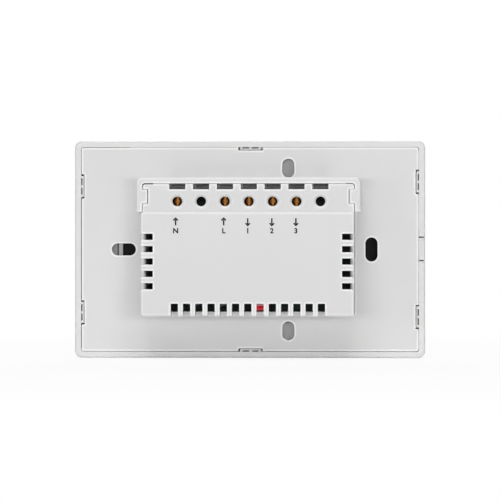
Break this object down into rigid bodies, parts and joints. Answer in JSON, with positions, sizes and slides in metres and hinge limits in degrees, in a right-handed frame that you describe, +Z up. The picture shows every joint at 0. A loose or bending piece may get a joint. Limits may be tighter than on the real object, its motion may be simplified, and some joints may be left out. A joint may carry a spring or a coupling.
{
  "type": "smart touch switch",
  "caption": "Wall-box smart touch switch with a glass touch panel, clip-on front, slotted mounting plate, vented back box and rising-clamp screw terminals.",
  "frame": {"origin": "centre of the mounting plate on the wall plane, the back face of the plate", "axes": "+Z up with the terminals at the top, +Y into the wall box, away from the touch face, +X along the long side, to the left when the back is looked at"},
  "size_m": [0.12, 0.0355, 0.0742],
  "materials": {
    "white_plastic": "satin moulded",
    "white_glass": "polished, white behind",
    "board_green": "solder mask",
    "board_dark": "solder mask",
    "steel_screw": "zinc plated",
    "black_plastic": "moulded",
    "red_resin": "dipped",
    "ferrite": "matt",
    "coil_tape": "taped",
    "capacitor_can": "sleeved",
    "blue_resin": "dipped",
    "led_resin": "clear resin",
    "clear_plastic": "clear",
    "radio_can": "tinned",
    "relay_case": "moulded",
    "conductive_foam": "foam",
    "tinned_copper": "tinned",
    "zinc_steel": "zinc plated",
    "brass_screw": "plain"
  },
  "bodies": {
    "base": {"back_cover": "white_plastic", "box_fuse": "black_plastic", "bulk_capacitors": "capacitor_can", "film_capacitor": "red_resin", "link_socket": "black_plastic", "mounting_base": "white_plastic", "power_board": "board_green", "power_board_screws": "steel_screw", "relay_1": "relay_case", "relay_2": "relay_case", "relay_3": "relay_case", "terminal_block": "black_plastic", "terminal_contact_live": "tinned_copper", "terminal_contact_neutral": "tinned_copper", "terminal_contact_out_1": "tinned_copper", "terminal_contact_out_2": "tinned_copper", "terminal_contact_out_3": "tinned_copper", "transformer_coil": "coil_tape", "transformer_core": "ferrite", "varistor": "blue_resin"},
    "front": {"front_cover": "white_plastic", "key_lights": "led_resin", "light_guide_1": "clear_plastic", "light_guide_2": "clear_plastic", "light_guide_3": "clear_plastic", "link_header": "black_plastic", "radio_module": "radio_can", "status_light_guide": "clear_plastic", "touch_board": "board_dark", "touch_board_screws": "steel_screw", "touch_electrode_1": "conductive_foam", "touch_electrode_2": "conductive_foam", "touch_electrode_3": "conductive_foam", "touch_panel": "white_glass"},
    "screw_neutral": {"terminal_screw_neutral": "brass_screw"},
    "clamp_neutral": {"terminal_clamp_neutral": "zinc_steel"},
    "screw_live": {"terminal_screw_live": "brass_screw"},
    "clamp_live": {"terminal_clamp_live": "zinc_steel"},
    "screw_out_1": {"terminal_screw_out_1": "brass_screw"},
    "clamp_out_1": {"terminal_clamp_out_1": "zinc_steel"},
    "screw_out_2": {"terminal_screw_out_2": "brass_screw"},
    "clamp_out_2": {"terminal_clamp_out_2": "zinc_steel"},
    "screw_out_3": {"terminal_screw_out_3": "brass_screw"},
    "clamp_out_3": {"terminal_clamp_out_3": "zinc_steel"}
  },
  "joints": [
    {"name": "front_release", "type": "slide", "parent": "base", "child": "front", "axis": [0, -1, 0], "range_m": [0, 0.03]},
    {"name": "screw_turn_neutral", "type": "hinge", "parent": "base", "child": "screw_neutral", "pos_m": [0.02409, 0.0102, 0.01633], "axis": [0, -1, 0], "range_deg": [0, 1440]},
    {"name": "clamp_rise_neutral", "type": "slide", "parent": "base", "child": "clamp_neutral", "axis": [0, 1, 0], "range_m": [0, 0.002]},
    {"name": "screw_turn_live", "type": "hinge", "parent": "base", "child": "screw_live", "pos_m": [0.00793, 0.0102, 0.01633], "axis": [0, -1, 0], "range_deg": [0, 1440]},
    {"name": "clamp_rise_live", "type": "slide", "parent": "base", "child": "clamp_live", "axis": [0, 1, 0], "range_m": [0, 0.002]},
    {"name": "screw_turn_out_1", "type": "hinge", "parent": "base", "child": "screw_out_1", "pos_m": [-0.00015, 0.0102, 0.01633], "axis": [0, -1, 0], "range_deg": [0, 1440]},
    {"name": "clamp_rise_out_1", "type": "slide", "parent": "base", "child": "clamp_out_1", "axis": [0, 1, 0], "range_m": [0, 0.002]},
    {"name": "screw_turn_out_2", "type": "hinge", "parent": "base", "child": "screw_out_2", "pos_m": [-0.00823, 0.0102, 0.01633], "axis": [0, -1, 0], "range_deg": [0, 1440]},
    {"name": "clamp_rise_out_2", "type": "slide", "parent": "base", "child": "clamp_out_2", "axis": [0, 1, 0], "range_m": [0, 0.002]},
    {"name": "screw_turn_out_3", "type": "hinge", "parent": "base", "child": "screw_out_3", "pos_m": [-0.01631, 0.0102, 0.01633], "axis": [0, -1, 0], "range_deg": [0, 1440]},
    {"name": "clamp_rise_out_3", "type": "slide", "parent": "base", "child": "clamp_out_3", "axis": [0, 1, 0], "range_m": [0, 0.002]}
  ],
  "couplings": [
    {"joint": "screw_turn_neutral", "follows": "clamp_rise_neutral", "rad_per_m": 12566},
    {"joint": "screw_turn_live", "follows": "clamp_rise_live", "rad_per_m": 12566},
    {"joint": "screw_turn_out_1", "follows": "clamp_rise_out_1", "rad_per_m": 12566},
    {"joint": "screw_turn_out_2", "follows": "clamp_rise_out_2", "rad_per_m": 12566},
    {"joint": "screw_turn_out_3", "follows": "clamp_rise_out_3", "rad_per_m": 12566}
  ]
}
